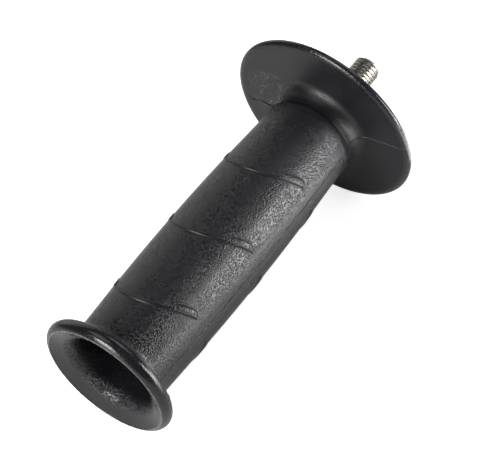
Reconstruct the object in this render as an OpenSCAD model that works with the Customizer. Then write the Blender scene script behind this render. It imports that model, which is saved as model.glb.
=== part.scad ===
// Side handle of an angle grinder: a hollow moulded grip with a round hand guard and a steel stud that screws into
// the machine. Millimetres. X runs along the stud, out of the seat at the origin; the grip lies along -X.
// The mould opens along Z, so the parting plane is XY and the finger marks face +Z and -Z.

/* [Stud bolt] */
// Thread diameter over the crests
thread_d = 10; // [8:0.5:14]
// Length of thread that stands out of the seat
stud_reach = 20; // [14:1:30]
// Chamfer at the stud's free end
tip_chamfer = 1; // [0.5:0.1:1.5]
// Diameter of the plain shank held in the grip
shank_d = 9; // [7:0.5:9.5]
// Length of the plain shank, from the seat to the head
shank_l = 24; // [16:1:28]
// Width across the flats of the hexagon head
head_af = 16; // [13:1:19]
// Height of the hexagon head
head_h = 6.4; // [5:0.2:8]

/* [Barrel] */
// Length from the mouth's lip to the seat
grip_l = 139; // [130:1:150]
// Diameter at the mouth end
rear_d = 35.2; // [33:0.2:37]
// Largest diameter
belly_d = 37.4; // [36:0.2:40]
// Diameter at the front end
front_d = 33.8; // [33:0.2:36]
// Distance of the largest diameter from the lip
belly_at = 57; // [48:1:66]
// Rounding of the barrel's front edge
shoulder_r = 1.6; // [0.8:0.1:2]
// Depth of the neck below the barrel's front edge
neck_depth = 1.3; // [0.8:0.1:2]
// Gap between the barrel's front edge and the hand guard
neck_gap = 6.1; // [5.6:0.1:7]

/* [Hand guard] */
// Diameter
guard_d = 73; // [66:1:80]
// Thickness
guard_t = 3; // [2.6:0.1:4]
// Rounding of the two rim edges
rim_r = 1.1; // [0.6:0.1:1.2]
// Radius of the cove between the neck and the guard
cove_r = 4.7; // [3:0.1:5.2]

/* [Front boss] */
// Diameter of the boss that meets the machine
boss_d = 24; // [20:0.5:30]
// Height of the boss over the guard's front face
boss_l = 7.4; // [5:0.1:10]
// Radius of the cove at the foot of the boss
boss_cove = 2.4; // [1:0.1:3]
// Rounding of the seat's outer edge
boss_edge = 0.8; // [0.4:0.1:1.5]
// Gap between the thread and the wall of the relief in the seat
relief_gap = 1; // [0.5:0.1:2]
// Depth of the relief
relief_l = 0.8; // [0.4:0.1:2]

/* [Mouth] */
// Diameter over the lip
mouth_d = 50.7; // [47:0.1:54]
// Radius of the rounded lip
lip_r = 2.75; // [2:0.05:3.2]
// Radius of the trumpet between the lip and the bore
trumpet_r = 7.4; // [6:0.1:8.5]
// Radius of the cove between the barrel and the lip
lip_cove = 4.4; // [2.5:0.1:4.6]

/* [Hollow] */
// Depth of the hollow from the lip
hollow_l = 100; // [70:1:104]
// Diameter of the hollow at its floor
floor_d = 28.4; // [24:0.2:29]
// Rounding at the floor of the hollow
floor_r = 3; // [1:0.5:5]

/* [Finger marks] */
// Number of marks on each side
marks = 3; // [1:1:3]
// Distance of the first mark's middle from the lip
mark_first = 23.2; // [18:0.1:26]
// Distance between marks
mark_pitch = 31.75; // [24:0.25:33]
// Height of a mark over the barrel
mark_h = 0.3; // [0.2:0.05:0.5]
// Radius of a mark's curve, seen along the mould's opening direction
mark_curve = 22.8; // [20:0.2:30]
// Width of the fine line in a mark's middle
line_w = 0.5; // [0.4:0.05:1]
// Width of the leaf at each end of a mark
leaf_w = 2.85; // [1.5:0.05:4]
// Angle round the barrel, from a mark's middle, where the leaf starts
leaf_from = 28; // [20:1:36]
// Angle round the barrel, from a mark's middle, where the leaf ends in a point
leaf_to = 71; // [60:1:74]

/* [Hidden] */
$fn = 96;

black_plastic = [0.07, 0.07, 0.075];
zinc_steel = [0.72, 0.71, 0.66];

// Places along X
lip_x = -grip_l;
guard_front = -boss_l;
guard_back = guard_front - guard_t;
barrel_end = guard_back - neck_gap;
belly_x = lip_x + belly_at;
lip_back = lip_x + 2 * lip_r;
floor_x = lip_x + hollow_l;
head_front = -shank_l;

// Radii
neck_r = front_d / 2 - neck_depth;
lip_ring_r = mouth_d / 2 - lip_r;
throat_r = lip_ring_r - trumpet_r;

// The barrel's curve is two cubic Bezier spans that meet at the belly, each given by its end points and
// by how far its handles reach, as shares of the span.
rear_reach = 0.28;
belly_rear_reach = 0.55;
belly_front_reach = 0.6;
front_reach = 0.22;
barrel_steps = 9;
leaf_steps = 7;
// Where the mark prisms start, above the parting plane
mark_floor = 4;
// A little more than nothing, so that a cut runs clear of the face it opens
clear = 1;

function bezier(a, b, c, d, t) =
    a * pow(1 - t, 3) + 3 * b * t * pow(1 - t, 2) + 3 * c * t * t * (1 - t) + d * pow(t, 3);

// Points [radius, x] of the barrel from the lip to the front edge, grown by the given height
function barrel_points(grow) =
    let (
        start = lip_x + lip_r,
        end = barrel_end - shoulder_r,
        rear_run = belly_x - start,
        front_run = end - belly_x
    )
    concat(
        [for (i = [0 : barrel_steps - 1]) [
            bezier(rear_d, rear_d, belly_d, belly_d, i / barrel_steps) / 2 + grow,
            bezier(start, start + rear_reach * rear_run, belly_x - belly_rear_reach * rear_run, belly_x,
                i / barrel_steps)
        ]],
        [for (i = [0 : barrel_steps]) [
            bezier(belly_d, belly_d, front_d, front_d, i / barrel_steps) / 2 + grow,
            bezier(belly_x, belly_x + belly_front_reach * front_run, end - front_reach * front_run, end,
                i / barrel_steps)
        ]]
    );

// Turns an outline drawn as [radius, x] about the X axis
module turned() {
    rotate([90, 0, 90]) rotate_extrude() children();
}

// Flat piece whose inner corner is a quarter-round hollow, with the corner at the origin of the drawing
module cove(r) {
    difference() {
        square(r);
        translate([r, r]) circle(r);
    }
}

module barrel(grow = 0) {
    points = barrel_points(grow);
    turned() polygon(concat([[0, points[0][1]]], points, [[0, points[len(points) - 1][1]]]));
}

// Rounded front edge of the barrel and the neck up to the hand guard
module shoulder_and_neck() {
    turned() {
        translate([0, barrel_end - shoulder_r]) square([front_d / 2 - shoulder_r, shoulder_r]);
        intersection() {
            translate([front_d / 2 - shoulder_r, barrel_end - shoulder_r]) circle(shoulder_r);
            translate([0, barrel_end - shoulder_r]) square([front_d / 2, shoulder_r]);
        }
        translate([0, barrel_end - shoulder_r]) square([neck_r, shoulder_r + neck_gap + guard_t / 2]);
        translate([neck_r, guard_back]) mirror([0, 1]) cove(cove_r);
    }
}

module hand_guard() {
    turned() {
        translate([0, guard_back]) square([guard_d / 2 - rim_r, guard_t]);
        translate([0, guard_back + rim_r]) square([guard_d / 2, guard_t - 2 * rim_r]);
        for (x = [guard_back + rim_r, guard_front - rim_r])
            translate([guard_d / 2 - rim_r, x]) circle(rim_r);
    }
}

module front_boss() {
    turned() {
        translate([0, guard_front - guard_t / 2]) square([boss_d / 2, boss_l + guard_t / 2 - boss_edge]);
        translate([0, -boss_edge - clear]) square([boss_d / 2 - boss_edge, boss_edge + clear]);
        intersection() {
            translate([boss_d / 2 - boss_edge, -boss_edge]) circle(boss_edge);
            translate([0, -boss_edge]) square([boss_d / 2, boss_edge]);
        }
        translate([boss_d / 2, guard_front]) cove(boss_cove);
    }
}

// Recess round the stud, so that the seat lies flat against the machine
module seat_relief() {
    translate([-relief_l, 0, 0]) rotate([0, 90, 0])
        cylinder(d = thread_d + 2 * relief_gap, h = relief_l + clear);
}

// Round lip, and the cove that carries it on the barrel
module lip() {
    turned() {
        translate([0, lip_x]) square([lip_ring_r, 2 * lip_r]);
        translate([lip_ring_r, lip_x + lip_r]) circle(lip_r);
        translate([rear_d / 2, lip_back]) cove(lip_cove);
    }
}

// Trumpet mouth and drafted bore, closed by a floor with a rounded edge
module hollow() {
    turned() {
        difference() {
            translate([0, lip_x - clear]) square([lip_ring_r, trumpet_r + clear]);
            translate([lip_ring_r, lip_x + trumpet_r]) circle(trumpet_r);
        }
        polygon([
            [0, lip_x + trumpet_r],
            [throat_r, lip_x + trumpet_r],
            [floor_d / 2, floor_x - floor_r],
            [floor_d / 2 - floor_r, floor_x - floor_r],
            [0, floor_x - floor_r]
        ]);
        translate([0, floor_x - floor_r]) square([floor_d / 2 - floor_r, floor_r]);
        intersection() {
            translate([floor_d / 2 - floor_r, floor_x - floor_r]) circle(floor_r);
            translate([0, floor_x - floor_r]) square([floor_d / 2, floor_r]);
        }
    }
}

// Edge of a mark nearer the mouth, at an angle round the barrel from the mark's middle
function near_edge(angle) = mark_curve - sqrt(pow(mark_curve, 2) - pow(belly_d / 2 * sin(angle), 2));

// Width of a mark along X at that angle: a fine line that swells to a leaf and ends in a point
function mark_width(angle) =
    let (share = (abs(angle) - leaf_from) / (leaf_to - leaf_from))
    share <= 0 ? line_w : max(line_w * (1 - share), leaf_w * sin(180 * share));

// Outline of one mark as [x, y], seen along the mould's opening direction
module mark_outline() {
    leaf = [for (i = [0 : leaf_steps - 1]) leaf_to - i * (leaf_to - leaf_from) / leaf_steps];
    angles = concat([for (a = leaf) -a], [-leaf_from, -leaf_from / 2, 0, leaf_from / 2, leaf_from],
        [for (i = [leaf_steps - 1 : -1 : 0]) leaf[i]]);
    inner = [for (i = [1 : len(angles) - 2]) angles[len(angles) - 1 - i]];
    polygon(concat(
        [for (a = angles) [near_edge(a), belly_d / 2 * sin(a)]],
        [for (a = inner) [near_edge(a) + mark_width(a), belly_d / 2 * sin(a)]]
    ));
}

// Raised finger marks, three on each mould half
module finger_marks() {
    intersection() {
        barrel(mark_h);
        for (side = [0, 180], i = [0 : marks - 1])
            rotate([side, 0, 0])
                translate([lip_x + mark_first + i * mark_pitch, 0, mark_floor])
                    linear_extrude(height = belly_d / 2) mark_outline();
    }
}

module stud_bolt() {
    color(zinc_steel) {
        rotate([0, 90, 0]) cylinder(d = thread_d, h = stud_reach - tip_chamfer);
        translate([stud_reach - tip_chamfer, 0, 0]) rotate([0, 90, 0])
            cylinder(r1 = thread_d / 2, r2 = thread_d / 2 - tip_chamfer, h = tip_chamfer);
        embedded_bolt();
    }
}

// Shank and head, which the plastic is moulded round
module embedded_bolt() {
    translate([head_front, 0, 0]) rotate([0, 90, 0]) cylinder(d = shank_d, h = shank_l);
    translate([head_front - head_h, 0, 0]) rotate([0, 90, 0])
        cylinder(d = head_af / cos(30), h = head_h, $fn = 6);
}

module grip() {
    color(black_plastic) difference() {
        union() {
            barrel();
            shoulder_and_neck();
            hand_guard();
            front_boss();
            lip();
            finger_marks();
        }
        hollow();
        seat_relief();
        embedded_bolt();
    }
}

grip();
stud_bolt();
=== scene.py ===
# %% [markdown]
# # The side handle of an angle grinder
# A side handle is one hollow plastic moulding round a steel bolt. This lesson dresses the CAD model of
# it: the moulding and the bolt are modelled again with what their solids leave out, such as the thread,
# the parting line and the grain, and then the camera and the lights are set. All sizes come from the
# frame or are named below.

# %% Load the frame
import math

import bmesh
import bpy
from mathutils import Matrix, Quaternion, Vector


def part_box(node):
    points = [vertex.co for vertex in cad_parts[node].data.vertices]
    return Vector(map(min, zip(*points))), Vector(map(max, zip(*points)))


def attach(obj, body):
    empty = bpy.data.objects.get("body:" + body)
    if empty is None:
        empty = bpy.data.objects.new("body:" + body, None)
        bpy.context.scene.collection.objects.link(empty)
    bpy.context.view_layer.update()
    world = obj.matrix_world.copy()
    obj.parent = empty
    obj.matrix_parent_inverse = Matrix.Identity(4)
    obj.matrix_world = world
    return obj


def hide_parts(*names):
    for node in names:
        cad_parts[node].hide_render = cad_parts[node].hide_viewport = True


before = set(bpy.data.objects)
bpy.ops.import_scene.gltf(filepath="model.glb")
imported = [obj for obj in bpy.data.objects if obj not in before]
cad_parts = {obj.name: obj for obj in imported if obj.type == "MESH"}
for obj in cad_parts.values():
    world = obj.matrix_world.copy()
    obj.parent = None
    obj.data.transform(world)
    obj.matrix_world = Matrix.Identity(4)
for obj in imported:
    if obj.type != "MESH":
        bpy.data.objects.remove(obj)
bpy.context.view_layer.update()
MM = 0.001

# %% [markdown]
# ## The camera
# The photograph looks down on the handle from behind its open mouth, and the camera is rolled, so that
# the handle climbs to the upper right. Two angles, a roll and the point looked at are easier to read and
# to correct than bare coordinates, so the camera's place is worked out from those.

# %% Camera
VIEW_AZIMUTH = math.radians(-39.04)
VIEW_ELEVATION = math.radians(45.56)
VIEW_ROLL = math.radians(-20.1)
VIEW_POINT = Vector((-66.4, -3.6, -1.1)) * MM
VIEW_DISTANCE = 740 * MM
LENS = 161.25


def towards(azimuth, elevation):
    """Unit vector to a place in the studio. Azimuth 0 is in front, at -Y, and a quarter turn on is +X."""
    flat = math.cos(elevation)
    return Vector((math.sin(azimuth) * flat, -math.cos(azimuth) * flat, math.sin(elevation)))


camera = bpy.data.objects.new("camera", bpy.data.cameras.new("camera"))
bpy.context.scene.collection.objects.link(camera)
bpy.context.scene.camera = camera
back = towards(VIEW_AZIMUTH, VIEW_ELEVATION)
camera.data.lens = LENS
camera.location = VIEW_POINT + back * VIEW_DISTANCE
camera.rotation_mode = "QUATERNION"
camera.rotation_quaternion = (-back).to_track_quat("-Z", "Y") @ Quaternion((0, 0, 1), VIEW_ROLL)
print("Camera in mm:", [round(c / MM, 1) for c in camera.location])

# %% [markdown]
# ## Tools for modelling by hand
# Both pieces are turned shapes, and a turned shape is made as on a lathe: half of its section is drawn on
# one side of the axis, and the Spin tool turns it round. The pen below extrudes one vertex from point to
# point. It draws in millimetres, x along the handle and r out from its axis.

# %% Pen and lathe
SIDES = 240
# Points closer than NEAR are merged, and a cut treats what is closer to it than TINY as lying in it
NEAR = 0.001 * MM
TINY = NEAR / 10


def start_alone():
    """Tools act on all that is selected, and loading the frame leaves its nodes selected."""
    if bpy.context.object and bpy.context.object.mode == "EDIT":
        bpy.ops.object.mode_set(mode="OBJECT")
    bpy.ops.object.select_all(action="DESELECT")


def pick(piece):
    """Selects one piece alone, and makes it the one that tools and modifiers act on."""
    start_alone()
    piece.select_set(True)
    bpy.context.view_layer.objects.active = piece


def arc(x, r, radius, start, end, steps=8, tall=None):
    """Points round (x, r) from one angle to another, in degrees: 0 points along the stud and 90 outwards.
    An oval's radius along the handle is its radius, and the one across it is tall."""
    angles = [math.radians(start + (end - start) * i / steps) for i in range(steps + 1)]
    return [(x + radius * math.cos(a), r + (tall or radius) * math.sin(a)) for a in angles]


def line(start, end, steps):
    """Points of a straight stretch, its ends included."""
    return [tuple(a + (b - a) * i / steps for a, b in zip(start, end)) for i in range(steps + 1)]


def draw(name, points):
    """A new piece that is a line through the points and nothing else. It is left in edit mode, selected."""
    start_alone()
    bpy.ops.mesh.primitive_plane_add(size=MM)
    piece = bpy.context.object
    piece.name = piece.data.name = name
    bpy.ops.object.mode_set(mode="EDIT")
    bpy.ops.mesh.merge(type="CENTER")
    places = [Vector(p).to_3d() * MM for p in points]
    bpy.ops.transform.translate(value=places[0])
    for a, b in zip(places, places[1:]):
        bpy.ops.mesh.extrude_vertices_move(TRANSFORM_OT_translate={"value": b - a})
    bpy.ops.mesh.select_all(action="SELECT")
    return piece


def turn(name, points, sides=SIDES):
    """Draws half a section and spins it round the handle's axis. What meets the axis is closed."""
    piece = draw(name, points)
    bpy.ops.mesh.spin(steps=sides, angle=math.tau, center=(0, 0, 0), axis=(1, 0, 0))
    bpy.ops.mesh.select_all(action="SELECT")
    bpy.ops.mesh.remove_doubles(threshold=NEAR)
    bpy.ops.mesh.normals_make_consistent(inside=False)
    bpy.ops.object.mode_set(mode="OBJECT")
    return piece


def combine(piece, other, operation):
    """A Boolean modifier, applied. The other piece is used up."""
    pick(piece)
    bpy.ops.object.modifier_add(type="BOOLEAN")
    modifier = piece.modifiers[-1]
    modifier.object = other
    modifier.operation = operation
    modifier.solver = "EXACT"
    bpy.ops.object.modifier_apply(modifier=modifier.name)
    bpy.data.objects.remove(other)


def tell(piece):
    """Prints a piece's size, its triangles, and how many of its edges don't join exactly two faces."""
    mesh = bmesh.new()
    mesh.from_mesh(piece.data)
    size = [round(s / MM, 2) for s in piece.dimensions]
    loose = sum(not e.is_manifold for e in mesh.edges)
    print(piece.name, "mm:", size, "triangles:", len(mesh.calc_loop_triangles()), "open edges:", loose,
          "volume mm3:", round(mesh.calc_volume(signed=True) / MM ** 3))
    mesh.free()


# %% [markdown]
# ## The moulding's section
# The grip, the hand guard and the flared mouth are one moulding. Its outside is turned, apart from the
# finger marks, and its inside is what a long core leaves when it is pulled out of the mouth. So the whole
# section is one outline, from the middle of the hollow's floor, out through the trumpet and over the lip,
# along the barrel, over the guard and the boss, to the middle of the seat.
#
# The trumpet is a cone between an arc at the throat and a fine bead beside the lip's roll. The bead is
# what draws a thin line of light round the mouth. The barrel's front edge rolls over slowly along the
# handle, and the guard's back falls away towards its rim, so both are quarters of an oval and not of a
# circle.

# %% Sizes of the moulding
grip_low, grip_high = (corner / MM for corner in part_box("grip"))
LIP_X = grip_low.x
GUARD_R = grip_high.z
# Barrel: its radii at the rear, at the belly and at the front, and where the belly is
REAR_R, BELLY_R, FRONT_R = 17.6, 18.7, 16.9
BELLY_X = LIP_X + 57
# Lip: its roll, the ring that the roll follows, and the cove between it and the barrel
LIP_R, LIP_RING_R, LIP_COVE_R = 2.75, 22.6, 4.4
# Trumpet: the arc at the throat, how far the cone leans from square, the throat, and the bead and its ring
FLARE_R, FLARE_SLOPE, THROAT_R = 6, math.radians(22), 15.2
BEAD_R, BEAD_RING_R = 0.35, 23.2
# Guard: its two faces, and the cove between its back and the neck
GUARD_FRONT, GUARD_BACK, GUARD_COVE_R = -7.4, -10.4, 4.7
# Guard's rim: the rounding at the front, and the oval at the back, along the handle and across it
RIM_R, RIM_BACK_R, RIM_BACK_TALL = 1.4, 1.6, 2.8
# Barrel's front edge: its oval, along the handle and across it, the neck below it, and where it ends
SHOULDER_R, SHOULDER_TALL, NECK_R = 3.5, 1.9, 15.6
BARREL_END = GUARD_BACK - 6.1
# Hollow: its floor, its radius there, and the rounding of its corner
FLOOR_X, HOLLOW_R, HOLLOW_CORNER_R = LIP_X + 100, 14.2, 3
# Front: the boss, the cove at its foot, the seat's edge, and the relief round the stud
BOSS_R, BOSS_COVE_R, SEAT_EDGE_R = 12, 2.4, 0.8
RELIEF_R, RELIEF_DEPTH = 6, 0.8
print("Lip at x", round(LIP_X, 2), "mm, guard's radius", round(GUARD_R, 2), "mm")

# %% Barrel's curve
# How far each end's handle reaches, as a share of its span
REAR_REACH, BELLY_REAR_REACH, BELLY_FRONT_REACH, FRONT_REACH = 0.28, 0.55, 0.6, 0.22
BARREL_STEPS = 32
# The barrel's curve joins the section this far past the lip's cove
COVE_SPARE = 1


def bezier(a, b, c, d, t):
    """A cubic Bezier curve's value, from a to d, with its handles at b and c."""
    return a * (1 - t) ** 3 + 3 * b * t * (1 - t) ** 2 + 3 * c * t * t * (1 - t) + d * t ** 3


def barrel():
    """The barrel's curve from lip to shoulder: two spans that meet at the belly."""
    start, end = LIP_X + LIP_R, BARREL_END - SHOULDER_R
    rear, front = BELLY_X - start, end - BELLY_X
    points = []
    for i in range(BARREL_STEPS):
        t = i / BARREL_STEPS
        x = bezier(start, start + REAR_REACH * rear, BELLY_X - BELLY_REAR_REACH * rear, BELLY_X, t)
        points.append((x, bezier(REAR_R, REAR_R, BELLY_R, BELLY_R, t)))
    for i in range(BARREL_STEPS + 1):
        t = i / BARREL_STEPS
        x = bezier(BELLY_X, BELLY_X + BELLY_FRONT_REACH * front, end - FRONT_REACH * front, end, t)
        points.append((x, bezier(BELLY_R, BELLY_R, FRONT_R, FRONT_R, t)))
    return points


print("Barrel's curve:", len(barrel()), "points")

# %% Section of the moulding
bead_inner = (LIP_X + BEAD_R, BEAD_RING_R - BEAD_R)
flare_start_r = THROAT_R + FLARE_R * (1 - math.sin(FLARE_SLOPE))
flare_start_x = bead_inner[0] + (bead_inner[1] - flare_start_r) * math.tan(FLARE_SLOPE)
throat_x = flare_start_x + FLARE_R * math.cos(FLARE_SLOPE)
lip_back = LIP_X + 2 * LIP_R
cove_x = lip_back + LIP_COVE_R
shoulder_x = BARREL_END - SHOULDER_R
neck_angle = math.degrees(math.asin((NECK_R - FRONT_R + SHOULDER_TALL) / SHOULDER_TALL))
face_x = GUARD_BACK - GUARD_COVE_R
rim_ring_r = GUARD_R - RIM_BACK_TALL

section = (
    [(FLOOR_X, 0)]
    + arc(FLOOR_X - HOLLOW_CORNER_R, HOLLOW_R - HOLLOW_CORNER_R, HOLLOW_CORNER_R, 0, 90)
    + line((FLOOR_X - HOLLOW_CORNER_R, HOLLOW_R), (throat_x, THROAT_R), 24)[1:]
    + arc(throat_x, THROAT_R + FLARE_R, FLARE_R, 270, 180 + math.degrees(FLARE_SLOPE), 16)[1:]
    + line((flare_start_x, flare_start_r), bead_inner, 5)[1:-1]
    + arc(LIP_X + BEAD_R, BEAD_RING_R, BEAD_R, 270, 135, 6)
    + arc(LIP_X + LIP_R, LIP_RING_R, LIP_R, 160, 0, 26)
    + arc(cove_x, REAR_R + LIP_COVE_R, LIP_COVE_R, 180, 270, 12)
    + [p for p in barrel() if p[0] > cove_x + COVE_SPARE]
    + arc(shoulder_x, FRONT_R - SHOULDER_TALL, SHOULDER_R, 90, neck_angle, tall=SHOULDER_TALL)[1:]
    + arc(face_x, NECK_R + GUARD_COVE_R, GUARD_COVE_R, 270, 360, 14)
    + line((GUARD_BACK, NECK_R + GUARD_COVE_R), (GUARD_BACK, rim_ring_r), 10)[1:-1]
    + arc(GUARD_BACK + RIM_BACK_R, rim_ring_r, RIM_BACK_R, 180, 90, 12, tall=RIM_BACK_TALL)
    + arc(GUARD_FRONT - RIM_R, GUARD_R - RIM_R, RIM_R, 90, 0)[1:]
    + line((GUARD_FRONT, GUARD_R - RIM_R), (GUARD_FRONT, BOSS_R + BOSS_COVE_R), 12)[1:-1]
    + arc(GUARD_FRONT + BOSS_COVE_R, BOSS_R + BOSS_COVE_R, BOSS_COVE_R, 180, 270)
    + arc(-SEAT_EDGE_R, BOSS_R - SEAT_EDGE_R, SEAT_EDGE_R, 90, 0)
    + [(0, RELIEF_R), (-RELIEF_DEPTH, RELIEF_R), (-RELIEF_DEPTH, 0)]
)
grip = turn("grip_moulding", section)
tell(grip)

# %% [markdown]
# ## The parting line
# The mould's two halves meet in the plane z = 0, and where they meet the plastic has crept a little way
# between them. Two planar cuts close beside that plane leave a narrow strip along the whole outside, and
# its middle is then fattened into a low ridge. A ridge made so keeps its width over the barrel, the coves
# and the guard. The bore and the trumpet have none, because one core forms them, and the guard's rim is
# cleaned up.

# %% Parting line
FLASH_HALF_WIDTH = 0.17
FLASH_HEIGHT = 0.17
# How far past a face a point may lie and still belong to it
X_SPARE, R_SPARE = 0.01, 0.1


def select_vertices(piece, wanted):
    """In edit mode, selects the vertices whose place in millimetres passes the test."""
    bpy.ops.mesh.select_mode(type="VERT")
    bpy.ops.mesh.select_all(action="DESELECT")
    mesh = bmesh.from_edit_mesh(piece.data)
    for vertex in mesh.verts:
        vertex.select = wanted(*(vertex.co / MM))
    mesh.select_flush(True)
    bmesh.update_edit_mesh(piece.data)


def on_outside(x, r):
    """True on the surfaces that the two mould halves form."""
    barrel_or_cove = LIP_X + LIP_R < x < GUARD_BACK + X_SPARE and NECK_R - R_SPARE < r < rim_ring_r
    front = x > GUARD_FRONT - X_SPARE and BOSS_R - R_SPARE < r < rim_ring_r
    return barrel_or_cove or front


pick(grip)
bpy.ops.object.mode_set(mode="EDIT")
for z in (-FLASH_HALF_WIDTH, FLASH_HALF_WIDTH):
    bpy.ops.mesh.select_all(action="SELECT")
    bpy.ops.mesh.bisect(plane_co=(0, 0, z * MM), plane_no=(0, 0, 1), threshold=TINY)
select_vertices(grip, lambda x, y, z: abs(z) < NEAR / MM and on_outside(x, abs(y)))
bpy.ops.transform.shrink_fatten(value=FLASH_HEIGHT * MM)
bpy.ops.object.mode_set(mode="OBJECT")
tell(grip)

# %% [markdown]
# ## The finger marks
# Each mould half carries three raised crescents. A mark is a fine ridge over the barrel's top that widens
# to a leaf on both flanks, and a leaf starts blunt and closes fast at its tip. Its edges slope, and those
# slopes are all that the eye sees of it: one catches the light and one loses it. So a mark is lofted: the
# pen draws it lengthwise, one line for each corner of its cross-section, and the lines are bridged. The
# barrel isn't a cylinder, so each mark is drawn at its own place. The other half's marks are copies
# turned over.

# %% Sizes of the finger marks
# How many marks there are on a side, how far the first lies from the lip, and how far apart they are
MARKS, MARK_FIRST, MARK_PITCH = 3, 23.2, 31.75
# The radius of a mark's curve, seen from above, and how deep its foot reaches into the barrel
MARK_CURVE_R, MARK_DEPTH = 22.8, 0.8
# The ridge and the leaf: width, height, and half the width of a slope. Both slopes have to fit in the width
LINE_WIDTH, LINE_HEIGHT, LINE_SLOPE = 0.4, 0.3, 0.17
LEAF_WIDTH, LEAF_HEIGHT, LEAF_SLOPE = 3.7, 0.28, 0.18
# What is left between the slopes at a leaf's tip
LEAF_FLAT = 0.1
# A leaf's outline: its width at the inner end, how much it swells, and the powers that close it
LEAF_INNER, LEAF_SWELL, LEAF_ROUND, LEAF_CLOSE = 0.7, 0.55, 2.5, 0.6
# Where a leaf starts and ends, in degrees round the barrel from the mark's middle
LEAF_FROM, LEAF_TO = 42, 71
# How far the tips reach past the ends of the leaves, and the steps across a slope and along a mark
TIP_LENGTH = 0.4
SLOPE_STEPS, STATIONS = 4, 84


def barrel_r(x):
    """The barrel's radius, between the points of its curve."""
    curve = barrel()
    for (x0, r0), (x1, r1) in zip(curve, curve[1:]):
        if x <= x1:
            return r0 + (r1 - r0) * (x - x0) / (x1 - x0)
    return curve[-1][1]


def leaf_width(share):
    """A leaf's width, by the share of its length: blunt at its inner end, and closing fast at its tip."""
    return LEAF_WIDTH * (LEAF_INNER + LEAF_SWELL * share) * (1 - share ** LEAF_ROUND) ** LEAF_CLOSE


def mark_size(angle):
    """A mark's width, its height and half the width of its slopes, by the angle round the barrel."""
    share = (abs(angle) - LEAF_FROM) / (LEAF_TO - LEAF_FROM)
    if share <= 0:
        return LINE_WIDTH, LINE_HEIGHT, LINE_SLOPE
    return max(2 * LEAF_SLOPE + LEAF_FLAT, leaf_width(share)), LEAF_HEIGHT, LEAF_SLOPE


def on_mark(start, angle, across, height):
    """A point of a mark, by the angle round the barrel, the place across the mark and the height."""
    y = BELLY_R * math.sin(math.radians(angle))
    x = start + MARK_CURVE_R - math.sqrt(MARK_CURVE_R ** 2 - y ** 2) + across
    r = barrel_r(x) + height
    return x, r * math.sin(math.radians(angle)), r * math.cos(math.radians(angle))


def loft(name, lines):
    """Bridges lines that share both ends, in their order and back to the first, to a closed skin."""
    strands = [draw(name, points) for points in lines]
    start_alone()
    for strand in strands:
        strand.select_set(True)
    bpy.context.view_layer.objects.active = strands[0]
    bpy.ops.object.join()
    bpy.ops.object.mode_set(mode="EDIT")
    bpy.ops.mesh.select_all(action="SELECT")
    bpy.ops.mesh.bridge_edge_loops(type="CLOSED")
    bpy.ops.mesh.select_all(action="SELECT")
    bpy.ops.mesh.remove_doubles(threshold=NEAR)
    bpy.ops.mesh.normals_make_consistent(inside=False)
    bpy.ops.object.mode_set(mode="OBJECT")
    return strands[0]


steps = [i / SLOPE_STEPS for i in range(SLOPE_STEPS + 1)]
soft_step = [(2 * t - 1, t * t * (3 - 2 * t)) for t in steps]
print("A mark's slope, across and up:", soft_step)

# %% Loft of the finger marks
# A corner is 0 at the near edge and 1 at the far one, then the place across the slope, and then the share
# of the height, or None at the foot
corners = [(0, -1, None)] + [(0, u, h) for u, h in soft_step]
corners += [(1, -u, h) for u, h in reversed(soft_step)] + [(1, 1, None)]
turn_on = math.degrees(TIP_LENGTH / BELLY_R)
angles = [LEAF_TO * (2 * i / STATIONS - 1) for i in range(STATIONS + 1)]


def mark_lines(start):
    """One line for each corner, from tip to tip. The tips are points under the barrel's surface."""
    tip_angle = LEAF_TO + turn_on
    first, last = (on_mark(start, side * tip_angle, LINE_WIDTH / 2, -LINE_HEIGHT) for side in (-1, 1))
    lines = []
    for far, across, rise in corners:
        middle = []
        for angle in angles:
            width, height, half = mark_size(angle)
            lift = -MARK_DEPTH if rise is None else rise * height
            middle.append(on_mark(start, angle, far * width + across * half, lift))
        lines.append([first] + middle + [last])
    return lines


for i in range(MARKS):
    mark = loft("finger_mark", mark_lines(LIP_X + MARK_FIRST + i * MARK_PITCH))
    tell(mark)
    bpy.ops.object.duplicate()
    under = bpy.context.object
    bpy.ops.object.mode_set(mode="EDIT")
    bpy.ops.mesh.select_all(action="SELECT")
    bpy.ops.transform.rotate(value=math.pi, orient_axis="X", center_override=(0, 0, 0))
    bpy.ops.object.mode_set(mode="OBJECT")
    combine(grip, mark, "UNION")
    combine(grip, under, "UNION")
tell(grip)

# %% [markdown]
# ## The slits in the guard
# Where the plastic's flow closed behind the neck, the guard's back shows a crooked slit beside the
# parting line and a shorter nick beyond it. Each is a V-shaped groove, so its loft has three lines: two
# over the face, one on either side, and one at depth. A slit that is cut catches a real shadow, which a
# dark line in the material wouldn't.

# %% Slits in the guard
# Points along a slit: y, z, and half of its width at the face, in millimetres
LONG_SLIT = [(27.2, 0.3, 0), (26.3, 0.3, 0.36), (25.1, -0.15, 0.6), (24.2, -0.5, 0.5), (23.2, -0.4, 0.7),
             (22.3, -0.85, 0.6), (21.2, -0.7, 0)]
NICK = [(32.2, -0.1, 0), (31.0, -0.4, 0.32), (29.9, -0.4, 0.28), (29.0, -0.7, 0)]
# How far a loft stands over the face, and its depth for each millimetre of half width
SLIT_ABOVE, SLIT_STEEP = 0.3, 2.4
for course in (LONG_SLIT, NICK):
    sides = []
    for side in (-1, 0, 1):
        points = []
        for y, z, half in course:
            x = GUARD_BACK - SLIT_ABOVE if side or not half else GUARD_BACK + SLIT_STEEP * half
            points.append((x, y, z + side * half * (1 + SLIT_ABOVE / SLIT_STEEP)))
        sides.append(points)
    slit = loft("slit", sides)
    tell(slit)
    combine(grip, slit, "DIFFERENCE")
tell(grip)

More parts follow.
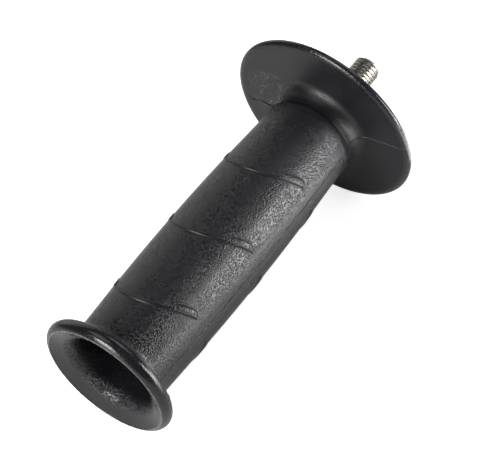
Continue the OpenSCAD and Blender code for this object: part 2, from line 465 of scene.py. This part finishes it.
# %% [markdown]
# ## The bolt
# The stud is the end of a hexagon bolt whose head and plain shank are moulded in. Its thread is the one
# form here that no lathe makes: the Screw modifier winds one pitch of the thread's outline round the
# axis, and a planar cut closes each end. A chamfered rod then trims the free end as a die would find it.
# The head and the shank join it, and a copy of them is cut out of the moulding, as the plastic has flowed
# round them.

# %% Thread
bolt_low, bolt_high = (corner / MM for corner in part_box("stud_bolt"))
STUD_R, STUD_TIP = 5, bolt_high.x
PITCH, ROOT_R = 1.5, 4.08
TIP_CHAMFER = 1
THREAD_STEPS = 72
flank = (STUD_R - ROOT_R) * math.tan(math.radians(30))
crest = PITCH / 8
root = PITCH - crest - 2 * flank
# The thread is wound from behind the seat to beyond the tip, and what is over is cut off
SPARE_TURNS = 3
turns = math.ceil(STUD_TIP / PITCH) + SPARE_TURNS
thread_start = -2 * PITCH

stud = draw("bolt", [
    (thread_start, ROOT_R),
    (thread_start + root, ROOT_R),
    (thread_start + root + flank, STUD_R),
    (thread_start + root + flank + crest, STUD_R),
    (thread_start + PITCH, ROOT_R),
])
bpy.ops.object.mode_set(mode="OBJECT")
bpy.ops.object.modifier_add(type="SCREW")
winding = stud.modifiers[-1]
winding.axis = "X"
winding.screw_offset = PITCH * MM
winding.iterations = turns
winding.steps = winding.render_steps = THREAD_STEPS
bpy.ops.object.modifier_apply(modifier=winding.name)
bpy.ops.object.mode_set(mode="EDIT")
bpy.ops.mesh.select_all(action="SELECT")
bpy.ops.mesh.remove_doubles(threshold=NEAR)
for x, at_start in ((0, True), (STUD_TIP + PITCH / 2, False)):
    bpy.ops.mesh.select_all(action="SELECT")
    bpy.ops.mesh.bisect(plane_co=(x * MM, 0, 0), plane_no=(1, 0, 0), use_fill=True, threshold=TINY,
                        clear_inner=at_start, clear_outer=not at_start)
bpy.ops.mesh.select_all(action="SELECT")
bpy.ops.mesh.normals_make_consistent(inside=False)
bpy.ops.object.mode_set(mode="OBJECT")
tell(stud)

# %% Chamfered end
ROD_START, ROD_SPARE = -1, 0.2
rod = turn("rod", [
    (ROD_START, 0),
    (ROD_START, STUD_R + ROD_SPARE),
    (STUD_TIP - TIP_CHAMFER - ROD_SPARE, STUD_R + ROD_SPARE),
    (STUD_TIP, STUD_R - TIP_CHAMFER),
    (STUD_TIP, 0),
], sides=THREAD_STEPS)
tell(rod)
combine(stud, rod, "INTERSECT")
tell(stud)

# %% Head and shank
HEAD_FLATS, HEAD_H, SHANK_R = 16, 6.4, 4.5
# How far the shank reaches into the thread and into the head, so that they join
SHANK_IN_THREAD, SHANK_IN_HEAD = 0.4, 1
head_r = HEAD_FLATS / 2 / math.cos(math.radians(30))
head_back = bolt_low.x
head_front = head_back + HEAD_H
shank = turn("shank", [
    (head_front - SHANK_IN_HEAD, 0),
    (head_front - SHANK_IN_HEAD, SHANK_R),
    (SHANK_IN_THREAD, SHANK_R),
    (SHANK_IN_THREAD, 0),
], sides=THREAD_STEPS)
head_middle = ((head_back + head_front) / 2 * MM, 0, 0)
start_alone()
bpy.ops.mesh.primitive_cylinder_add(vertices=6, radius=head_r * MM, depth=HEAD_H * MM, location=head_middle,
                                    rotation=(0, math.pi / 2, 0))
head = bpy.context.object
head.name = "head"
bpy.ops.object.transform_apply()
combine(shank, head, "UNION")
tell(shank)
pick(shank)
bpy.ops.object.duplicate()
pocket = bpy.context.object
combine(grip, pocket, "DIFFERENCE")
combine(stud, shank, "UNION")
tell(grip)
tell(stud)

# %% [markdown]
# ## Handing the pieces to the frame
# Both pieces are shaded smooth, apart from their sharp edges. Each then rides on the frame's only body
# and takes the place of its CAD node.

# %% Pieces in the frame
SHARP_EDGE = math.radians(30)
for piece, node in ((grip, "grip"), (stud, "stud_bolt")):
    pick(piece)
    bpy.ops.object.shade_smooth_by_angle(angle=SHARP_EDGE)
    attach(piece, "root")
    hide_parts(node)
    print(piece.name, "replaces", node)

# %% [markdown]
# ## Shader maths as Python
# A finish is arithmetic on noise and on places, and wiring Math nodes one by one hides it. This class
# wraps an output socket, so that a sum or a product of wires adds the node that works it out.

# %% Wires


class Wire:
    """An output socket of a node tree."""

    def __init__(self, tree, socket):
        self.tree = tree
        self.socket = socket

    def node(self, kind, settings=None, inputs=None, output=0):
        """Adds a node of any kind. Its settings come first, and then its inputs get values or wires."""
        made = self.tree.nodes.new(kind)
        for name, value in (settings or {}).items():
            setattr(made, name, value)
        for name, value in (inputs or {}).items():
            if isinstance(value, Wire):
                self.tree.links.new(value.socket, made.inputs[name])
            else:
                made.inputs[name].default_value = value
        return Wire(self.tree, made.outputs[output])

    def math(self, operation, *others):
        """A Math node of this wire and of others, or of numbers."""
        return self.node("ShaderNodeMath", {"operation": operation}, dict(enumerate((self, *others))))

    def __add__(self, other):
        return self.math("ADD", other)

    def __mul__(self, other):
        return self.math("MULTIPLY", other)

    def __sub__(self, other):
        return self.math("SUBTRACT", other)

    def __rsub__(self, other):
        return (self * -1) + other

    def __truediv__(self, other):
        return self.math("DIVIDE", other)

    def __pow__(self, other):
        return self.math("POWER", other)

    __radd__ = __add__
    __rmul__ = __mul__

    def ramp(self, low, high):
        """0 below low, 1 above high, and a soft step between."""
        return self.node("ShaderNodeMapRange", {"interpolation_type": "SMOOTHSTEP"},
                         {"Value": self, "From Min": low, "From Max": high})

    def noise(self, size, detail=2):
        """Noise whose blobs are about this many metres across, on a wire that holds a place."""
        return self.node("ShaderNodeTexNoise", {}, {"Vector": self, "Scale": 1 / size, "Detail": detail})

    def cells(self, size):
        """The way to the nearest of many scattered points, which lie about this many metres apart."""
        return self.node("ShaderNodeTexVoronoi", {}, {"Vector": self, "Scale": 1 / size})

    def axis(self, name):
        """The part of a place along X, Y or Z."""
        return self.node("ShaderNodeSeparateXYZ", {}, {"Vector": self}, name)

    def between(self, low, high):
        """A colour between two, by this wire's value from 0 to 1.

        A Mix node's sockets share their names, so they are told apart by number: 0 is the factor, 6 and 7
        are the two colours, and 2 is the colour that comes out."""
        return self.node("ShaderNodeMix", {"data_type": "RGBA"}, {0: self, 6: low, 7: high}, 2)


def new_material(name):
    """A material, its Principled shader, and a wire that holds the place on the object."""
    material = bpy.data.materials.new(name)
    material.use_nodes = True
    tree = material.node_tree
    place = Wire(tree, tree.nodes.new("ShaderNodeTexCoord").outputs["Object"])
    return material, tree.nodes["Principled BSDF"], place


def plug(shader, **inputs):
    """Sets or links the shader's inputs; an underscore stands for a space."""
    for name, value in inputs.items():
        socket = shader.inputs[name.replace("_", " ")]
        if isinstance(value, Wire):
            value.tree.links.new(value.socket, socket)
        else:
            socket.default_value = value


# %% [markdown]
# ## Black plastic
# One glass-filled polyamide makes the whole moulding, but the mould's surface differs. The barrel and the
# mouth carry the grain of spark erosion: shallow craters, side by side, less than a millimetre across.
# Each crater turns its slopes to the light at another angle, so that the highlight breaks up into sparks
# and grows wider. That is why grained plastic needs a glossier shader than smooth plastic of the same
# look. The guard's faces are satin, and the lip and the guard's rim are worn to a shine. So the moulding
# is first mapped in zones, each a number from 0 to 1 that is worked out from the place on the handle.
# Places are in millimetres here, as in the section above. Textures read the place in metres, so their sizes
# are written times MM.

# %% Places on the moulding
plastic, plastic_shader, place = new_material("handle_plastic")
x, y, z = (place.axis(name) / MM for name in "XYZ")
r = (y * y + z * z).math("SQRT")
# 1 on the handle's left half, where y is positive, and 0 on its right half
on_left = y.ramp(0, 1)


def span(wire, low, high, soft):
    """1 between two places, with soft ends."""
    return wire.ramp(low - soft, low + soft) * (1 - wire.ramp(high - soft, high + soft))


BARREL_FROM, BARREL_TO, BARREL_SOFT = cove_x - 2, shoulder_x + 1, 1.5
WALL_FADE = (THROAT_R + 0.8, THROAT_R + 1.2)
outside = span(x, BARREL_FROM, BARREL_TO, BARREL_SOFT) * r.ramp(*WALL_FADE)
print("The barrel's grain runs from x", round(BARREL_FROM, 1), "to", round(BARREL_TO, 1), "mm")

# %% [markdown]
# ## Outlines of the finger marks
# The grain nearly stops at a mark's slopes, and a leaf's outline is a dull, dark line. The shader finds
# the outlines as the loft did: it takes a mark's curve away from the place along the handle, wraps the
# rest at the marks' pitch, and measures the way to the nearer edge of the mark. The function for a leaf's
# width serves here as well, because wires take the same operators as numbers.

# %% Outlines of the finger marks
ANGLE_SOFT = 0.02
# The way from an edge at which its smooth slope and its dull crease begin and end to fade
SLOPE_FADE, CREASE_FADE = (0.25, 0.45), (0.12, 0.3)
# Wrapping starts this far before a mark's near edge
WRAP_BEFORE = 3
# How strong the crease is on the right flank of the barrel, where y is negative
RIGHT_CREASE = 0.4
leaf_from, leaf_to = math.radians(LEAF_FROM), math.radians(LEAF_TO)
turned = BELLY_R * y / r
rise = MARK_CURVE_R - (MARK_CURVE_R ** 2 - turned * turned).math("SQRT")
past_edge = (x - LIP_X - MARK_FIRST - rise).math("WRAP", MARK_PITCH - WRAP_BEFORE, -WRAP_BEFORE)
round_angle = (turned / BELLY_R).math("ARCSINE").math("ABSOLUTE")
leaf_share = ((round_angle - leaf_from) / (leaf_to - leaf_from)).math("MAXIMUM", 0).math("MINIMUM", 1)
in_leaf = round_angle.ramp(leaf_from - ANGLE_SOFT, leaf_from + ANGLE_SOFT)
mark_width = leaf_width(leaf_share) * in_leaf + LINE_WIDTH * (1 - in_leaf)
from_edge = past_edge.math("ABSOLUTE").math("MINIMUM", (past_edge - mark_width).math("ABSOLUTE"))
before_tip = 1 - round_angle.ramp(leaf_to, leaf_to + ANGLE_SOFT)
on_slope = (1 - from_edge.ramp(*SLOPE_FADE)) * before_tip
strength = RIGHT_CREASE + (1 - RIGHT_CREASE) * on_left
crease = (1 - from_edge.ramp(*CREASE_FADE)) * before_tip * in_leaf * outside * strength
print("A leaf's outline runs from", LEAF_FROM, "to", LEAF_TO, "degrees round the barrel")

# %% [markdown]
# ## Zones of grain
# Each zone is a band along the handle or a ring round its axis. Where zones meet, the stronger one
# counts, so they are joined with the larger of both and not with a sum. The guard's back also has a patch
# beside the slits where the surface of the plastic has broken up into fine specks.

# %% Zones of the moulding
ON_SLOPE_LOSS = 0.8
MOUTH_GRAIN, RIM_GRAIN, BACK_GRAIN, COVE_GRAIN = 1.1, 0.08, 0.12, 0.35
MOUTH_FADE_R, MOUTH_FADE_X = (THROAT_R + 2.2, THROAT_R + 4.5), (LIP_X + 9, LIP_X + 20)
RIM_FADE, LIP_FADE = (GUARD_R - 3, GUARD_R - 1.5), (LIP_X + 6, LIP_X + 8)
BACK_FROM, BACK_TO, BACK_SOFT = face_x - 1, GUARD_BACK + 1.2, 0.5
COVE_FROM, COVE_TO, COVE_SOFT, COVE_FADE_R = face_x + 0.5, GUARD_BACK - 0.6, 0.6, (21, 22)
PATCH_Y, PATCH_Z, PATCH_FADE = 19, 6, (6, 17)
# A cut is where a noise begins to count, and where it counts in full. Its values gather round 0.5
PATCH_BLOBS, PATCH_CUT = 4 * MM, (0.38, 0.58)
on_barrel = outside * (1 - ON_SLOPE_LOSS * on_slope)
on_back = span(x, BACK_FROM, BACK_TO, BACK_SOFT)
in_mouth = (1 - r.ramp(*MOUTH_FADE_R)) * (1 - x.ramp(*MOUTH_FADE_X)) * (1 - outside)
on_rim = r.ramp(*RIM_FADE)
on_lip = 1 - x.ramp(*LIP_FADE)
in_cove = span(x, COVE_FROM, COVE_TO, COVE_SOFT) * (1 - r.ramp(*COVE_FADE_R))
from_patch = ((y - PATCH_Y) ** 2 + (z - PATCH_Z) ** 2).math("SQRT")
patch = on_back * (1 - from_patch.ramp(*PATCH_FADE)) * place.noise(PATCH_BLOBS, detail=3).ramp(*PATCH_CUT)
grained = on_barrel
for zone in (in_mouth * MOUTH_GRAIN, on_rim * RIM_GRAIN, on_back * BACK_GRAIN, in_cove * COVE_GRAIN, patch):
    grained = grained.math("MAXIMUM", zone)
print("The broken patch is", PATCH_FADE[1], "mm round y", PATCH_Y, "z", PATCH_Z)

# %% [markdown]
# ## Grain and gloss
# The craters are a Voronoi texture's distances, cut off at a height, so that flat ridges stand between
# round pits. They go to a Bump node, because at half a millimetre across they are a surface and no longer
# a shape. The gloss follows the zones, and slow clouds shift it a little, as on plastic that has cooled
# unevenly.

# %% Grain
CRATER, CRATER_DEPTH, CRATER_EDGE = 0.52 * MM, 0.25 * MM, 0.6
SATIN_GRAIN = 0.1
CREASE_DEPTH = 0.8
craters = place.cells(CRATER).math("MINIMUM", CRATER_EDGE)
height = craters * (SATIN_GRAIN + (1 - SATIN_GRAIN) * grained) - CREASE_DEPTH * crease
relief = height.node("ShaderNodeBump", {}, {"Height": height, "Distance": CRATER_DEPTH, "Strength": 1.0})
print("Craters:", round(CRATER / MM, 2), "mm across,", round(CRATER_DEPTH / MM, 2), "mm deep")

# %% Gloss
GRAINED_ROUGHNESS, SATIN_ROUGHNESS, CREASE_ROUGHNESS = 0.26, 0.40, 0.55
# What polish takes off the roughness, what mottling gives back, and what clouds and the mouth change
POLISH, MOTTLING, CLOUDING, MOUTH_SHINE = 0.26, 0.14, 0.1, 0.07
CLOUD_SIZE, MOTTLE_SIZE, MOTTLE_CUT = 6 * MM, 0.7 * MM, (0.44, 0.6)
clouds = place.noise(CLOUD_SIZE, detail=3)
mottle = place.noise(MOTTLE_SIZE).ramp(*MOTTLE_CUT)
polished = on_lip.math("MAXIMUM", on_rim)
smooth = SATIN_ROUGHNESS - polished * (POLISH - MOTTLING * mottle)
base = grained.math("MINIMUM", 1) * GRAINED_ROUGHNESS + (1 - grained).math("MAXIMUM", 0) * smooth
roughness = base + CLOUDING * (clouds - 0.5) + CREASE_ROUGHNESS * crease - MOUTH_SHINE * in_mouth
print("Roughness: grained", GRAINED_ROUGHNESS, "satin", SATIN_ROUGHNESS)

# %% [markdown]
# ## Colour of the plastic
# The plastic is a nearly even black. What is pale on it is wear and, in part, painted highlight: the bead
# round the mouth and the parting line on the guard's right half are rubbed, and their pale bands also stand
# in for the lines of light they catch. The patch beside the slits is crazed in dots, and single specks of
# dust lie all over.

# %% Colour of the plastic
DEEP_BLACK, SOFT_BLACK = (0.0112, 0.0108, 0.0132, 1), (0.0142, 0.0136, 0.0160, 1)
PALE_WEAR_AND_SHEEN_GREY = (0.15, 0.147, 0.142, 1)
SPECKS_APART, SPECK_FADE = 6.5 * MM, (0.02, 0.035)
# The bead's band of wear: from and to, by the radius, its softness, and where it fades behind the lip
BEAD_FROM, BEAD_TO, BEAD_SOFT = BEAD_RING_R - 0.3, BEAD_RING_R + 0.4, 0.1
BEAD_FADE_X = (LIP_X + 0.34, LIP_X + 0.46)
SEAM_FADE, SEAM_FADE_R, SEAM_FADE_X = (0.1, 0.22), (NECK_R + 2, NECK_R + 4), (face_x - 1, face_x)
SEAM_WEAR_AND_SHEEN = 0.3
BREAKUP_LEAST, BREAKUP_SIZE, BREAKUP_CUT = 0.4, 1.2 * MM, (0.4, 0.6)
DOTS_APART, DOT_FADE, DOT_BLOBS, DOT_CUT = 1.3 * MM, (0.2, 0.4), 2.5 * MM, (0.4, 0.5)
BLACK_CUT = (0.3, 0.7)
black = clouds.ramp(*BLACK_CUT).between(DEEP_BLACK, SOFT_BLACK)
specks = 1 - place.cells(SPECKS_APART).ramp(*SPECK_FADE)
# Painted highlight in part: the bead's pale band is wear and also paints its thin line of light.
bead = span(r, BEAD_FROM, BEAD_TO, BEAD_SOFT) * (1 - x.ramp(*BEAD_FADE_X))
on_parting = (1 - z.math("ABSOLUTE").ramp(*SEAM_FADE)) * r.ramp(*SEAM_FADE_R)
# Painted highlight in part: the parting line is paled only on the right half, where the light falls along
# it, and partly as scraped flash.
seam = on_parting * x.ramp(*SEAM_FADE_X) * (1 - on_left) * SEAM_WEAR_AND_SHEEN
rub_and_sheen_breakup = BREAKUP_LEAST + (1 - BREAKUP_LEAST) * place.noise(BREAKUP_SIZE, detail=3).ramp(*BREAKUP_CUT)
# Wear and painted highlight together, broken up by noise.
rubbed_and_highlit = bead.math("MAXIMUM", seam) * rub_and_sheen_breakup
dots = 1 - place.cells(DOTS_APART).ramp(*DOT_FADE)
crazing = patch * dots * place.noise(DOT_BLOBS).ramp(*DOT_CUT)
pale_marks_and_sheen = specks.math("MAXIMUM", rubbed_and_highlit).math("MAXIMUM", crazing)
plug(plastic_shader, Base_Color=pale_marks_and_sheen.between(black, PALE_WEAR_AND_SHEEN_GREY), Roughness=roughness, Normal=relief)
print(plastic.name, "nodes:", len(plastic.node_tree.nodes))

# %% [markdown]
# ## Zinc-plated steel
# Bright zinc has a faint warm tint. The flanks and crests of a rolled thread are smooth, and what oil and
# dust there is lies in the roots, which are therefore brown and dull. The dark band also reaches up the
# lower flanks as painted shade in the thread's grooves. So the grime and painted shade are a ramp on the
# distance from the axis, and noise breaks them up.

# %% Zinc steel
DARK_ZINC, LIGHT_ZINC, GRIME_AND_SHADE = (0.62, 0.59, 0.53, 1), (0.78, 0.76, 0.70, 1), (0.045, 0.034, 0.022, 1)
# The grime and painted shade fade with the radius and are broken up by a cut of the tarnish
GRIME_AND_SHADE_FADE, GRIME_AND_SHADE_CUT = (4.15, 4.72), (0.15, 0.5)
GRIME_AND_SHADE_METAL_LOSS = 0.9
ZINC_CUT = (0.3, 0.7)
STEEL_ROUGHNESS, TARNISH_ROUGHNESS, GRIME_AND_SHADE_ROUGHNESS = 0.14, 0.2, 0.4
TARNISH_SIZE, SCRATCH_SIZE, SCRATCH_DEPTH = 1.6 * MM, 0.35 * MM, 0.02 * MM
steel, steel_shader, place = new_material("zinc_plating")
y, z = (place.axis(name) / MM for name in "YZ")
r = (y * y + z * z).math("SQRT")
tarnish = place.noise(TARNISH_SIZE, detail=3)
# Painted shade in part: the roots and lower flanks are darkened brown, partly as grime and partly as shade
# in the grooves.
grime_and_shade = (1 - r.ramp(*GRIME_AND_SHADE_FADE)) * tarnish.ramp(*GRIME_AND_SHADE_CUT)
zinc = tarnish.ramp(*ZINC_CUT).between(DARK_ZINC, LIGHT_ZINC)
scratches = place.noise(SCRATCH_SIZE)
scratched = scratches.node("ShaderNodeBump", {}, {"Height": scratches, "Distance": SCRATCH_DEPTH})
roughness = STEEL_ROUGHNESS + TARNISH_ROUGHNESS * tarnish + GRIME_AND_SHADE_ROUGHNESS * grime_and_shade
plug(steel_shader, Base_Color=grime_and_shade.between(zinc, GRIME_AND_SHADE), Metallic=1 - GRIME_AND_SHADE_METAL_LOSS * grime_and_shade)
plug(steel_shader, Roughness=roughness, Normal=scratched)
print(steel.name, "nodes:", len(steel.node_tree.nodes))

# %% Finishes on the pieces
for piece, material, slot in ((grip, plastic, "black_plastic"), (stud, steel, "zinc_steel")):
    piece.data.materials.clear()
    piece.data.materials.append(material)
    print(piece.name, "wears", material.name)

# %% [markdown]
# ## The floor
# The photograph's background is plain white without a shadow, as over a lit table. The floor here is a
# pale sheet that glows a little, and only in what the camera sees and in reflections, so that it adds no
# light to the handle and keeps a soft shadow.

# %% Floor
FLOOR_SIZE, FLOOR_GREY = 6, 0.85
FLOOR_GLOW, FLOOR_GLOW_REFLECTED = 0.8, 0.05
floor_z = -GUARD_R * MM
start_alone()
bpy.ops.mesh.primitive_plane_add(size=FLOOR_SIZE, location=(0, 0, floor_z))
floor = bpy.context.object
floor.name = "floor"


def ray_kinds(wire):
    """1 for a ray from the camera, and 1 for a ray that was reflected or let through."""
    seen, glossy, through = (wire.node("ShaderNodeLightPath", output=name)
                             for name in ("Is Camera Ray", "Is Glossy Ray", "Is Transmission Ray"))
    return seen, glossy.math("MAXIMUM", through)


pale, pale_shader, place = new_material("pale_floor")
seen, reflected = ray_kinds(place)
plug(pale_shader, Base_Color=(FLOOR_GREY, FLOOR_GREY, FLOOR_GREY, 1), Roughness=0.8, Emission_Strength=1.0)
plug(pale_shader, Emission_Color=seen * FLOOR_GLOW + reflected * FLOOR_GLOW_REFLECTED)
floor.data.materials.append(pale)
print("Floor at z", round(floor_z / MM, 1), "mm, just under the guard")

# %% [markdown]
# ## Backdrop and room
# The world is a white backdrop behind the handle and a dark room in front of it, which black plastic
# needs: its top would turn grey under a white sky. To the camera the whole world is white. The backdrop
# is a round patch of the world, found from the angle between a ray and the patch's middle.

# %% World
BACKDROP_AZIMUTH, BACKDROP_ELEVATION = 152, 15
# Degrees from the backdrop's middle: beyond the first it is dark, and within the second it is full
BACKDROP_EDGE = (40, 14)
BACKDROP_LEVEL, REFLECTED_LEVEL, ROOM_LEVEL = 0.85, 0.15, 0.012
world = bpy.data.worlds.new("studio")
bpy.context.scene.world = world
world.use_nodes = True
tree = world.node_tree
way = Wire(tree, tree.nodes.new("ShaderNodeTexCoord").outputs["Generated"])
seen, reflected = ray_kinds(way)
middle = towards(math.radians(BACKDROP_AZIMUTH), math.radians(BACKDROP_ELEVATION))
facing = way.node("ShaderNodeVectorMath", {"operation": "DOT_PRODUCT"}, {0: way, 1: middle}, "Value")
backdrop = facing.ramp(*(math.cos(math.radians(angle)) for angle in BACKDROP_EDGE))
level = backdrop * (BACKDROP_LEVEL + REFLECTED_LEVEL * reflected) + ROOM_LEVEL
sky = tree.nodes["Background"]
tree.links.new(level.math("MAXIMUM", seen).socket, sky.inputs["Color"])
sky.inputs["Strength"].default_value = 1
print("Backdrop at", BACKDROP_LEVEL, "and room at", ROOM_LEVEL, "of white")

# %% [markdown]
# ## Lamps
# The photograph's highlights tell where its lights were. A broad grainy band along the barrel's right
# flank needs a lamp low on the right, and its far edge is lit from below the horizon: the lit table in
# front. Two soft boxes on the left, one over the other, model the guard and the lip, and two dim ones, at
# the right and above, fill. Each is an area lamp, and the power that gives a wanted brightness follows
# from its size. The camera doesn't see the lamps themselves.


# %% Lamp
def lamp(name, place, way, width, height, brightness):
    """A rectangular lamp that shines against a direction. A brightness of 1 looks white from the handle."""
    data = bpy.data.lights.new(name, "AREA")
    data.shape = "RECTANGLE"
    data.size = width
    data.size_y = height
    data.energy = math.pi * width * height * brightness
    made = bpy.data.objects.new(name, data)
    bpy.context.scene.collection.objects.link(made)
    made.location = place
    made.rotation_mode = "QUATERNION"
    made.rotation_quaternion = way.to_track_quat("Z", "Y")
    made.visible_camera = False
    print(name, "W:", round(data.energy, 2))
    return made


# %% Key lamp and lit table
KEY_AZIMUTH, KEY_DISTANCE, KEY_SIZE, KEY_LIFT = math.radians(28), 0.3, 0.135, 10 * MM
TABLE_LIFT = 2 * MM


def table_light(name, distance, width, depth, brightness):
    """A lit stretch of the table under the key lamp: a lamp that lies on the floor and shines up."""
    place = VIEW_POINT + towards(KEY_AZIMUTH, 0) * distance
    place.z = floor_z + TABLE_LIFT
    made = lamp(name, place, Vector((0, 0, -1)), width, depth, brightness)
    made.rotation_mode = "XYZ"
    made.rotation_euler = (math.pi, 0, KEY_AZIMUTH)


key_place = VIEW_POINT + towards(KEY_AZIMUTH, 0) * KEY_DISTANCE
key_place.z = floor_z + KEY_LIFT + KEY_SIZE / 2
key_way = (key_place - VIEW_POINT).normalized()
lamp("key", key_place, key_way, width=KEY_SIZE, height=KEY_SIZE, brightness=11.2)
table_light("table_near", distance=0.10, width=0.16, depth=0.06, brightness=5)
table_light("table_far", distance=0.26, width=0.24, depth=0.12, brightness=17)

# %% Soft boxes
BOX_DISTANCE = 0.7


def soft_box(name, azimuth, elevation, width, height, brightness):
    """A lamp in the air, turned to the point that the camera looks at."""
    way = towards(math.radians(azimuth), math.radians(elevation))
    lamp(name, VIEW_POINT + way * BOX_DISTANCE, way, width, height, brightness)


soft_box("left", azimuth=-97, elevation=33, width=0.27, height=0.27, brightness=15.5)
soft_box("left_low", azimuth=-97, elevation=12, width=0.27, height=0.27, brightness=4)
soft_box("right", azimuth=80, elevation=35, width=0.4, height=0.3, brightness=1.9)
soft_box("top", azimuth=-132, elevation=76, width=0.4, height=0.4, brightness=1.5)

# %% Finish
scene = bpy.context.scene
scene.view_settings.view_transform = "Standard"
